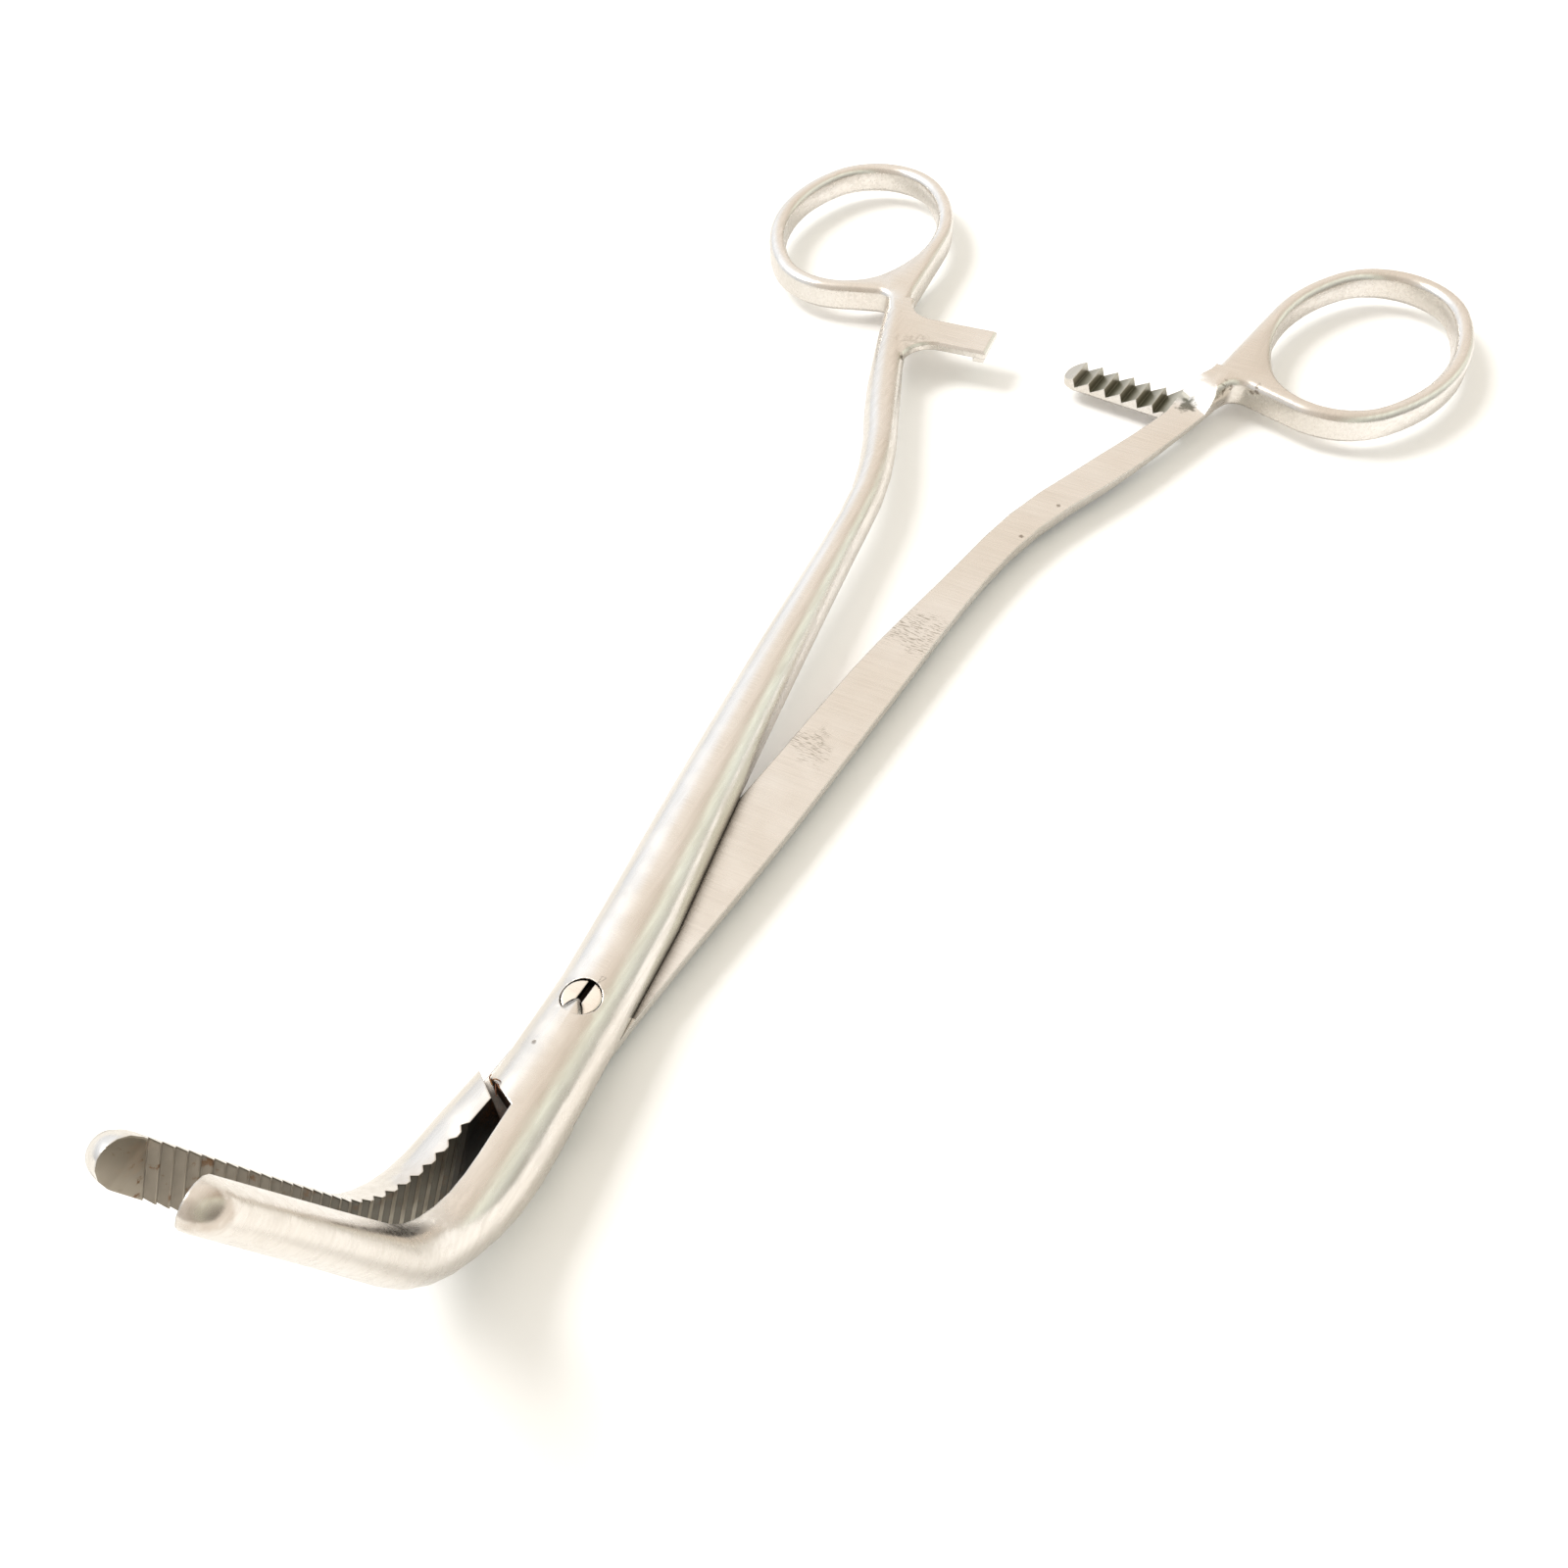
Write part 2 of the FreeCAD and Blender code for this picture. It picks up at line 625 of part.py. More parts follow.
def make_ring(half, outwards):
    """Finger ring with its neck and web as one plate. Its edges are bevelled, the upper ones in
    three facets that touch an arc."""
    start = size("neck_station") - size("ring_neck_length")
    level = size("ring_wire_height") / 2
    radius = size("ring_rounding")
    run = radius * (2 - math.sqrt(2))
    second_run = radius * (math.tan(math.pi / 8) - math.tan(math.pi / 16))

    def at_level(edge, heights):
        box = edge.BoundBox
        flat = box.ZLength < NEAR and any(abs(box.ZMax - height) < NEAR for height in heights)
        return flat and box.YMax > start + run + SUNK / 2

    plate = make_plate(half, outwards)
    bevelled = bevel_edges(plate, half + "_ring_bevelled", run,
                           lambda edge: at_level(edge, [level, -level]))
    return bevel_edges(bevelled, half + "_ring", second_run,
                       lambda edge: at_level(edge, [level, level - run]))


# Ratchet


def make_arm(half, outline, bottom, top):
    """A bar that crosses the middle of the clamp, from inside the root of the shank."""
    body = new_body(half + "_arm")
    sketch = new_sketch(body, half + "_arm_outline", "XY_Plane")
    draw_outline(sketch, *outline)
    bind(sketch, "AttachmentOffset.Base.z", bottom)
    pad(body, sketch, half + "_arm_pad", top - bottom)
    return body


def arm_outline(half, sign, far_edge):
    """Outline of an arm with hollow arcs at both corners of its root. far_edge is the inner side
    of the web, beside the arc there."""
    station = length(half + "_arm_station")
    breadth = length(half + "_arm_width")
    near = station - breadth * 0.5
    far = station + breadth * 0.5
    tip = -length(half + "_arm_reach")
    near_fillet = length(half + "_arm_near_fillet")
    far_fillet = length(half + "_arm_far_fillet")
    near_edge = length(shank_edge(half, near.value - near_fillet.value))
    far_edge = length(far_edge)
    inside = length("root_width") * 0.5
    points = [
        (tip, near),
        (near_edge - near_fillet, near),
        (near_edge, near - near_fillet),
        (near_edge + inside, near - near_fillet),
        (far_edge + inside, far + far_fillet),
        (far_edge, far + far_fillet),
        (far_edge - far_fillet, far),
        (tip, far),
    ]
    near_middle = hollow_middle(near_edge, near, near_fillet, -1, sign)
    far_middle = hollow_middle(far_edge, far, far_fillet, 1, sign)
    arcs = {1: (near_middle, near_fillet), 5: (far_middle, far_fillet)}
    return [(x * sign, y) for x, y in points], arcs


def hollow_middle(edge, side, radius, direction, sign):
    """Middle point of the hollow arc in the corner between an arm and its shank."""
    offset = radius.value * (1 - math.sqrt(0.5))
    x = sign * (edge.value - offset)
    return FreeCAD.Vector(x, side.value + direction * offset, 0)


def pick_edges(base, run, wanted):
    """The edges that the test picks, as fillets and chamfers take them."""
    doc.recompute()
    edges = enumerate(base.Shape.Edges, start=1)
    return [(number, run, run) for number, edge in edges if wanted(edge)]


def round_edges(base, name, radius, wanted):
    fillet = doc.addObject("Part::Fillet", name)
    fillet.Base = base
    fillet.Edges = pick_edges(base, radius, wanted)
    return fillet


def bevel_edges(base, name, run, wanted):
    bevel = doc.addObject("Part::Chamfer", name)
    bevel.Base = base
    bevel.Edges = pick_edges(base, run, wanted)
    return bevel


def make_upper_arm():
    """Plain arm with round top edges and a pawl hook under its tip."""
    bottom = length("upper_arm_bottom")
    top = length("ring_wire_height") * 0.5
    body = make_arm("upper", arm_outline("upper", -1.0, "upper_arm_far_edge"), bottom, top)

    def top_of_arm(item):
        box = item.BoundBox
        outside = box.XMax > SUNK - size("upper_arm_far_edge")
        return box.ZMin > top.value - NEAR and outside

    soft = bevel_edges(body, "upper_arm_soft", size("upper_arm_bevel"), top_of_arm)
    hook = doc.addObject("Part::Wedge", "pawl_hook")
    near = length("upper_arm_station") - length("upper_arm_width") * 0.5
    bind(hook, "Ymin", near + "upper_arm_bevel")
    bind(hook, "Ymax", near + "upper_arm_width" - "upper_arm_bevel")
    bind(hook, "Zmin", "pawl_clearance")
    bind(hook, "Zmax", bottom + SUNK)
    bind(hook, "Z2min", "pawl_clearance")
    bind(hook, "Z2max", bottom + SUNK)
    tip = length("upper_arm_reach") - "pawl_inset"
    bind(hook, "Xmin", tip - "pawl_length")
    bind(hook, "Xmax", tip)
    bind(hook, "X2min", tip - "pawl_length")
    bind(hook, "X2max", tip)
    return join("upper_arm_hooked", [soft, hook])


def make_lower_arm():
    """Arm with a rounded tip, round lower edges and saw teeth across its top."""
    top = length("ring_wire_height") * 0.5
    outline = arm_outline("lower", 1.0, "lower_arm_far_edge")
    body = make_arm("lower", outline, -length("lower_arm_bottom"), top)

    def at_tip(item):
        box = item.BoundBox
        return box.XMax < NEAR - size("lower_arm_reach") and box.ZLength > size("tooth_depth")

    tip = round_edges(body, "lower_arm_tip", size("lower_arm_tip_radius"), at_tip)

    def at_bottom(item):
        box = item.BoundBox
        inside = box.XMin > size("lower_arm_far_edge") - SUNK
        return box.ZMax < NEAR - size("lower_arm_bottom") and not inside

    soft = bevel_edges(tip, "lower_arm_soft", size("lower_arm_bevel"), at_bottom)
    return cut("lower_arm_toothed", soft, [make_tooth_cutter()])


def make_tooth_cutter():
    """What is cut from above to leave the saw teeth: steep towards the root of the arm, and
    sloping down towards its tip."""
    crest = -size("tooth_clearance")
    foot = crest - size("tooth_depth")
    pitch = size("tooth_pitch")
    first = -size("first_crest")
    count = int(size("tooth_count"))
    over = size("joint_height")
    end = first - pitch * 2
    points = [(end, over), (end, crest - size("tooth_tip_drop")), (first, crest)]
    for index in range(count):
        x = first + index * pitch
        points.append((x + size("tooth_steep_run"), foot))
        points.append((x + pitch, crest))
    points[-1] = (points[-1][0], 0)
    points.append((points[-1][0], over))
    breadth = size("lower_arm_width")
    near = size("lower_arm_station") - breadth
    vectors = [FreeCAD.Vector(x, near, z) for x, z in points + points[:1]]
    solid = Part.Face(Part.makePolygon(vectors))
    cutter = doc.addObject("Part::Feature", "tooth_cutter")
    cutter.Shape = solid.extrude(FreeCAD.Vector(0, breadth * 2, 0))
    return cutter


# Serrations


def make_serrations(name, side, shift, rim):
    """V grooves across the face of one jaw, all leaning the same way. side is the jaw's side along
    X, shift is where its first groove is, in pitches, and rim is what is left smooth beside the
    hollow side of the jaw. Without a rim the grooves run out on that side."""
    lean = math.radians(size("serration_lean"))
    along = FreeCAD.Vector(0, -math.sin(lean), -math.cos(lean))
    across = FreeCAD.Vector(0, math.cos(lean), -math.sin(lean))
    inwards = FreeCAD.Vector(side, 0, 0)
    face = size("face_clearance") / 2
    depth = size("serration_depth")
    half_width = size("serration_width") / 2 * (depth + PROUD) / depth
    reach = size("joint_height")
    room = rod_length() - size("smooth_tip") - size("serration_start")
    count = int(room / size("serration_pitch"))
    grooves = []
    for index in range(count):
        distance = size("serration_start") + (index + shift) * size("serration_pitch")
        centre, upwards = rod_point(distance)
        above = reach
        if rim:
            height = smooth(rod_stations(), distance)[1]
            above = (height / 2 - rim) / abs(along.dot(upwards))
        start = centre - along * above + inwards * (face - PROUD)
        corners = [
            start + across * half_width,
            start + inwards * (depth + PROUD),
            start - across * half_width,
        ]
        section = Part.Face(Part.makePolygon(corners + corners[:1]))
        grooves.append(section.extrude(along * (above + reach)))
    cutter = doc.addObject("Part::Feature", name)
    cutter.Shape = Part.makeCompound(grooves)
    return cutter


def make_tip_bevel(name, side):
    """Smooth bevel that eases the end of the face of one jaw."""
    inwards = FreeCAD.Vector(side, 0, 0)
    face = size("face_clearance") / 2
    reach = size("joint_height")
    tip, upwards = rod_point(rod_length() + SUNK)
    heel = rod_point(rod_length() - size("bevel_length"))[0]
    corners = [
        heel + inwards * (face - PROUD),
        tip + inwards * (face - PROUD),
        tip + inwards * (face + size("bevel_depth")),
    ]
    low = [point - upwards * reach for point in corners]
    cutter = doc.addObject("Part::Feature", name)
    cutter.Shape = Part.Face(Part.makePolygon(low + low[:1])).extrude(upwards * (2 * reach))
    return cutter


# Joint


def make_cylinder(name, diameter, clearance, bottom, top):
    """A cylinder on the pivot axis."""
    cylinder = doc.addObject("Part::Cylinder", name)
    bind(cylinder, "Radius", length(diameter) * 0.5 + clearance)
    bind(cylinder, "Height", top - bottom)
    bind(cylinder, "Placement.Base.z", bottom)
    return cylinder


def make_screw():
    """Slotted screw with a flat head and a plain thread end."""
    body = new_body("pivot_screw")
    profile = new_sketch(body, "screw_profile", "XZ_Plane")
    top = length("joint_height") * 0.5 - "screw_head_sink"
    shoulder = top - "screw_head_height"
    bottom = length("joint_height") * -0.5 + "screw_head_sink"
    head = length("screw_head_diameter") * 0.5
    shank = length("screw_diameter") * 0.5
    bevel = length("screw_bevel")
    draw_outline(profile, [
        (length(0), bottom),
        (shank - bevel - bevel, bottom),
        (shank, bottom + bevel + bevel),
        (shank, shoulder),
        (head, shoulder),
        (head, top - bevel),
        (head - bevel, top),
        (length(0), top),
    ])
    turned = body.newObject("PartDesign::Revolution", "screw_turned")
    turned.Profile = profile
    turned.ReferenceAxis = (profile, ["V_Axis"])
    turned.Angle = 360
    slot = new_sketch(body, "screw_slot", "XY_Plane")
    bind(slot, "AttachmentOffset.Base.z", top)
    side = length("slot_width") * 0.5
    draw_outline(slot, [(-side, -head), (side, -head), (side, head), (-side, head)])
    pocket = body.newObject("PartDesign::Pocket", "screw_slot_cut")
    pocket.Profile = slot
    bind(pocket, "Length", "slot_depth")
    return body


# The two halves


def join(name, shapes):
    whole = doc.addObject("Part::MultiFuse", name)
    whole.Shapes = shapes
    whole.Refine = False
    return whole


def cut(name, base, tools):
    """Cuts one tool after another."""
    for number, tool in enumerate(tools, start=1):
        step = doc.addObject("Part::Cut", "%s_%d" % (name, number))
        step.Base = base
        step.Tool = tool
        step.Refine = False
        base = step
    return base


def make_jaw(name, rod, space, side, shift, rim=0):
    """The share of the closed rod that belongs to one half, with its grooves and its bevel."""
    share = doc.addObject("Part::Common", name + "_blank")
    share.Base = rod
    share.Tool = space
    share.Refine = False
    grooves = make_serrations(name + "_serrations", side, shift, rim)
    return cut(name, share, [grooves, make_tip_bevel(name + "_bevel", side)])


def make_handle(half, outwards, crown, arm):
    """Shank, finger ring and ratchet arm, cut flat where the other half passes."""
    whole = join(half + "_handle_joined", [make_shank(half, outwards, crown),
                                           make_ring(half, outwards), arm])
    handle = cut(half + "_handle", whole, [make_lap_cutter(half, outwards, crown)])
    handle.Placement = FreeCAD.Placement(FreeCAD.Vector(), handle_turn(outwards))
    return handle


def make_upper_half():
    space = make_space("upper_space")
    jaw = make_jaw("upper_jaw", make_rod("upper", -1), space, 1, 0, size("upper_jaw_rim"))
    body = join("upper_joined", [jaw, make_handle("upper", -1, 1, make_upper_arm())])
    top = length("joint_height") * 0.5
    seat = top - "screw_head_sink" - "screw_head_height" - "screw_clearance"
    bore = make_cylinder("upper_bore", "screw_diameter", "screw_clearance", -top, top)
    counterbore = make_cylinder("upper_counterbore", "screw_head_diameter", "screw_clearance",
                                seat, top + SUNK)
    return cut("upper_half", body, [bore, counterbore])


def make_lower_half():
    space = make_space("lower_space")
    space.Placement = FreeCAD.Placement(FreeCAD.Vector(), FreeCAD.Rotation(FORWARD, 180))
    jaw = make_jaw("lower_jaw", make_rod("lower", 1), space, -1, 0.5)
    body = join("lower_joined", [jaw, make_handle("lower", 1, -1, make_lower_arm())])
    top = length("joint_height") * 0.5
    bore = make_cylinder("lower_bore", "screw_diameter", "thread_clearance", -top - SUNK, top)
    return cut("lower_half", body, [bore])


def set_down(pieces):
    """Opens the pieces about the pivot, each by its own angle, and sets the clamp down with the
    middle of its underside at the origin."""
    doc.recompute()
    for name, (piece, angle) in pieces.items():
        piece.Label = name
        piece.Placement = FreeCAD.Placement(FreeCAD.Vector(), FreeCAD.Rotation(UP, angle))
    whole = Part.makeCompound([piece.Shape for piece, angle in pieces.values()])
    box = whole.optimalBoundingBox(False)
    shift = FreeCAD.Vector(-(box.XMin + box.XMax) / 2, -(box.YMin + box.YMax) / 2, -box.ZMin)
    for piece, angle in pieces.values():
        piece.Placement = FreeCAD.Placement(shift, FreeCAD.Rotation(UP, angle))
    doc.recompute()


def check():
    """Stops the build where anything in the document failed."""
    for item in doc.Objects:
        state = list(item.State)
        if "Invalid" in state or "Error" in state:
            raise RuntimeError("%s is %s" % (item.Label, state))
        if hasattr(item, "Shape") and (item.Shape.isNull() or not item.Shape.isValid()):
            raise RuntimeError("%s has no valid shape" % item.Label)


half_opening = size("opening_angle") / 2
pieces = {
    "upper_half": (make_upper_half(), half_opening),
    "lower_half": (make_lower_half(), -half_opening),
    "pivot_screw": (make_screw(), -size("slot_angle")),
}
set_down(pieces)
check()

os.makedirs("parts", exist_ok=True)
for name, (piece, angle) in pieces.items():
    piece.Shape.exportStep("parts/%s.step" % name)
    print(name, piece.Shape.Volume, "mm3, pivot at", tuple(piece.Placement.Base))
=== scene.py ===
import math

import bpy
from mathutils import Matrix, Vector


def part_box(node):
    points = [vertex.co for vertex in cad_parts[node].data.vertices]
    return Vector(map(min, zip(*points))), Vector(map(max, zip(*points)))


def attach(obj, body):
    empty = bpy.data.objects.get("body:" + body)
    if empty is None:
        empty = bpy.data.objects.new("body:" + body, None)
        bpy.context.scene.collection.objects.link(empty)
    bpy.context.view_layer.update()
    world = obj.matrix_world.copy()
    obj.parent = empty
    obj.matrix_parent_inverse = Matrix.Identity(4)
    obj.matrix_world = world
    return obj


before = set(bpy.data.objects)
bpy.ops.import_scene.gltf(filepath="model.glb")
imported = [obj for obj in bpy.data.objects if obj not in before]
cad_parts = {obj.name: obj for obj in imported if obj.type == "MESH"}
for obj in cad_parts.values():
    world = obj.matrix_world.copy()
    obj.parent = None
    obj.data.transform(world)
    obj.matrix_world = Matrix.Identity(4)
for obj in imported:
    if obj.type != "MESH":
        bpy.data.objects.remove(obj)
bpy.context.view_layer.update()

# The clamp's looks: satin steel with brush marks, scratches, tarnish and rust, grime and painted
# shade in its recesses, on a white ground.
# The frame's +Y runs from the jaws to the finger rings. Lengths are in metres, apart from the
# places of marks and fibres and all that a material measures, which are in millimetres.

MM = 0.001

# The screw's box and its centre.
screw_low, screw_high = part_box("pivot_screw")
pivot = (Vector(screw_low) + Vector(screw_high)) / 2

# Camera, given from the pivot.
CAMERA_PLACE = Vector((51.8, -50.2, 116.6)) * MM
CAMERA_RIGHT = Vector((0.8844, 0.4655, -0.0329))
CAMERA_UP = Vector((-0.3398, 0.6907, 0.6384))
CAMERA_LENS = 32.6
CAMERA_SENSOR = 36


def add_camera():
    data = bpy.data.cameras.new("camera")
    data.lens = CAMERA_LENS
    data.sensor_width = CAMERA_SENSOR
    data.clip_start = 0.01
    data.clip_end = 20
    camera = bpy.data.objects.new("camera", data)
    bpy.context.collection.objects.link(camera)
    right = CAMERA_RIGHT.normalized()
    back = right.cross(CAMERA_UP).normalized()
    up = back.cross(right)
    turn = Matrix((right, up, back)).transposed()
    camera.matrix_world = Matrix.Translation(pivot + CAMERA_PLACE) @ turn.to_4x4()
    bpy.context.scene.camera = camera


# Node helpers


class Nodes:
    """Builds a node tree one node at a time. An input is a socket or a constant."""

    def __init__(self, tree):
        self.tree = tree
        tree.nodes.clear()

    def add(self, kind, inputs=None, **settings):
        node = self.tree.nodes.new(kind)
        for name, value in settings.items():
            setattr(node, name, value)
        for name, value in (inputs or {}).items():
            self.feed(node.inputs[name], value)
        return node

    def feed(self, socket, value):
        if isinstance(value, bpy.types.NodeSocket):
            self.tree.links.new(value, socket)
        else:
            socket.default_value = value

    def math(self, operation, one, other):
        return self.add("ShaderNodeMath", {0: one, 1: other}, operation=operation).outputs[0]

    def noise(self, place, scale, detail, roughness=0.5, stretch=None):
        if stretch:
            place = self.scaled(place, stretch)
        inputs = {"Vector": place, "Scale": scale, "Detail": detail, "Roughness": roughness}
        return self.add("ShaderNodeTexNoise", inputs).outputs["Fac"]

    def scaled(self, place, factors):
        return self.add("ShaderNodeMapping", {"Vector": place, "Scale": factors}).outputs[0]

    def millimetres(self):
        """The place on the object, in millimetres."""
        place = self.add("ShaderNodeTexCoord").outputs["Object"]
        return self.scaled(place, (1 / MM, 1 / MM, 1 / MM))

    def ramp(self, value, low, high, to_low=0.0, to_high=1.0):
        """A smooth step from to_low at low to to_high at high. Low may be above high."""
        inputs = {"Value": value, "From Min": low, "From Max": high,
                  "To Min": to_low, "To Max": to_high}
        return self.add("ShaderNodeMapRange", inputs, interpolation_type="SMOOTHSTEP").outputs[0]

    def mix(self, share, one, other):
        """A colour between two others."""
        return self.add("ShaderNodeMix", {0: share, 6: one, 7: other}, data_type="RGBA").outputs[2]

    def blend(self, share, one, other):
        """A number between two others."""
        gap = self.math("SUBTRACT", other, one)
        return self.math("ADD", one, self.math("MULTIPLY", share, gap))

    def openness(self, reach):
        """1 in the open, and less where surfaces within the reach cover the view."""
        return self.add("ShaderNodeAmbientOcclusion", {"Distance": reach * MM},
                        samples=8).outputs["AO"]

    def split(self, vector):
        return self.add("ShaderNodeSeparateXYZ", {0: vector}).outputs


def colour(red, green, blue):
    return (red, green, blue, 1.0)


def shade(tint, factors):
    return colour(*(part * factor for part, factor in zip(tint, factors)))


# Steel

HALF_TINT = colour(0.84, 0.81, 0.77)
SCREW_TINT = colour(0.88, 0.82, 0.75)
CLOUD_SHADE = (0.93, 0.91, 0.88)
BRUSH_SHADE = (0.62, 0.58, 0.53)

# Grime and painted shade, for places that nearby surfaces cover.
GRIME_AND_SHADE_TONE = colour(0.04, 0.035, 0.03)
# Painted shade in the screw's slot.
SLOT_SHADE = colour(0.02, 0.015, 0.012)
HEEL_BLACK = colour(0.085, 0.08, 0.075)
GROOVE = colour(0.13, 0.12, 0.10)
GROOVE_AT_TIP = colour(0.24, 0.21, 0.17)
LAND = colour(0.60, 0.55, 0.46)
LAND_DULL = colour(0.42, 0.37, 0.30)
LAND_AT_TIP = colour(0.34, 0.30, 0.24)
RUST_SPECK = colour(0.16, 0.085, 0.04)
TOOTH_PALE = colour(0.48, 0.46, 0.39)
# Olive-brown in painted shade, for the bottoms of the ratchet's notches.
TOOTH_SHADED = colour(0.20, 0.19, 0.14)
TOOTH_STAIN = colour(0.10, 0.10, 0.07)
SCRATCH_TONE = colour(0.36, 0.33, 0.28)
MARK_TONE = colour(0.22, 0.18, 0.14)
TIP_BROWN = colour(0.40, 0.31, 0.23)
RUST_BLACK = colour(0.045, 0.035, 0.03)
RUST_RED = colour(0.16, 0.07, 0.03)

# Marks, as the place of each and how far it reaches.
SCRATCHES = [((6.7, 0.7, 4.0), 4.2), ((3.1, -20.3, 4.0), 3.0)]
PITS = [((-1.5, -66.0, 8.4), 0.35), ((10.7, 22.0, 4.0), 0.4), ((12.7, 29.5, 4.0), 0.4)]
WELDS = [((24.7, 60.7, 5.2), 1.6), ((28.2, 61.4, 5.4), 1.5)]
GRINDING = [((-17.0, 51.5, 5.0), 3.4)]
# A brown tint on the facet at the front jaw's tip.
FRONT_TIP_BROWN = ((4.2, -97.4, 42.6), 1.9)
BACK_TIP_RUST = ((-3.0, -96.3, 41.5), 1.4)
SHOULDER = ((-1.6, -71.2, 7.4), 4.6)
RACK_STAIN = ((20.6, 56.6, 4.0), 1.7)

# Where the serrations begin, as Y and Z, and their lean back from upright.
FIRST_GROOVE = (-77.4, 5.3)
GROOVE_LEAN = math.radians(31)

# Boxes round the lap face under the other half, and round the ratchet's teeth.
LAP_LOW = (-14, -58, 3.8)
LAP_HIGH = (14, 8, 4.2)
RACK_LOW = (2.0, 52.0, 1.0)
RACK_HIGH = (20.6, 61.5, 4.25)


def near(nodes, place, centre, reach, ragged=0.35):
    """1 at a point and 0 beyond its reach, with a ragged rim."""
    gap = nodes.add("ShaderNodeVectorMath", {0: place, 1: centre}, operation="DISTANCE").outputs[1]
    wobble = nodes.ramp(nodes.noise(place, 1.6 / reach, 3), 0.2, 0.8,
                        -reach * ragged, reach * ragged)
    return nodes.ramp(nodes.math("ADD", gap, wobble), reach, reach * 0.35)


def nearest(nodes, place, spots, ragged=0.35):
    """The strongest of several marks."""
    strongest = 0.0
    for centre, reach in spots:
        strongest = nodes.math("MAXIMUM", near(nodes, place, centre, reach, ragged), strongest)
    return strongest


def inside(nodes, parts, low, high):
    """1 inside a box and 0 outside."""
    share = 1.0
    for axis in range(3):
        above = nodes.math("GREATER_THAN", parts[axis], low[axis])
        below = nodes.math("LESS_THAN", parts[axis], high[axis])
        share = nodes.math("MULTIPLY", share, nodes.math("MULTIPLY", above, below))
    return share


def steel(name, tint, face_side):
    """Satin steel with brush marks, clouds, grime and painted shade in its recesses, and wear.
    face_side is the side of X that the half's jaw face looks to, or 0 for the screw."""
    material = bpy.data.materials.new(name)
    material.use_nodes = True
    nodes = Nodes(material.node_tree)
    place = nodes.millimetres()
    parts = nodes.split(place)
    normal = nodes.split(nodes.add("ShaderNodeTexCoord").outputs["Normal"])

    # Satin finish: brushed along the shanks, and across on what is ground flat
    clouds = nodes.noise(place, 0.05, 4)
    patches = nodes.noise(place, 0.35, 4)
    along = nodes.noise(place, 1.0, 3, stretch=(2.2, 0.05, 2.2))
    crossways = nodes.noise(place, 1.0, 3, stretch=(0.12, 4.5, 0.12))
    grain = nodes.noise(place, 6.0, 2)
    flat = nodes.ramp(normal["Z"], 0.985, 0.999)
    brush = nodes.blend(flat, along, crossways)
    tone = nodes.mix(nodes.ramp(clouds, 0.35, 0.7), tint, shade(tint, CLOUD_SHADE))
    tone = nodes.mix(nodes.ramp(brush, 0.3, 0.75, 0.0, 0.24), tone, shade(tint, BRUSH_SHADE))
    rough = nodes.ramp(patches, 0.3, 0.7, 0.22, 0.31)
    rough = nodes.math("ADD", rough, nodes.ramp(brush, 0.3, 0.7, -0.03, 0.04))
    height = nodes.math("ADD", nodes.math("MULTIPLY", brush, 0.8),
                        nodes.math("MULTIPLY", grain, 0.25))

    # Grime and painted shade where nearby surfaces cover the view: in crevices, grooves and the
    # gap between the halves
    open_sky = nodes.openness(2.2)
    grime_and_shade = nodes.ramp(open_sky, 0.68, 0.3)
    grime_and_shade = nodes.math("MULTIPLY", grime_and_shade, nodes.ramp(patches, 0.25, 0.6, 0.75, 1.0))
    if face_side < 0:
        grime_and_shade = nodes.math("MULTIPLY", grime_and_shade, nodes.ramp(parts["Y"], -78, -73, 0.1, 1.0))
    if face_side > 0:
        # Painted shade: the flat lap face is darkened next to the half that lies over it, where
        # that half's shadow and the reflection of its dark underside fall.
        lap_shade = nodes.math("MULTIPLY", nodes.ramp(open_sky, 0.80, 0.62),
                            inside(nodes, parts, LAP_LOW, LAP_HIGH))
        grime_and_shade = nodes.math("MAXIMUM", grime_and_shade, lap_shade)
    tone = nodes.mix(nodes.math("MULTIPLY", grime_and_shade, 0.95), tone, GRIME_AND_SHADE_TONE)

    if face_side:
        tone, rough = tarnish_face(nodes, place, parts, normal, patches, tone, rough, face_side)
        tone, rough, height = wear(nodes, place, normal, grain, tone, rough, height)
    else:
        tone = slot_shade(nodes, parts, tone)
    if face_side > 0:
        tone, rough = rack_stain_and_shade(nodes, place, parts, normal, tone, rough)

    soft = nodes.add("ShaderNodeBevel", {"Radius": 0.22 * MM}, samples=6)
    bump = nodes.add("ShaderNodeBump", {"Strength": 0.25, "Distance": 0.012 * MM,
                                        "Height": height, "Normal": soft.outputs[0]})
    shader = nodes.add("ShaderNodeBsdfPrincipled", {
        "Base Color": tone, "Metallic": 1.0, "Roughness": rough, "Normal": bump.outputs[0]})
    nodes.add("ShaderNodeOutputMaterial", {"Surface": shader.outputs[0]})
    return material


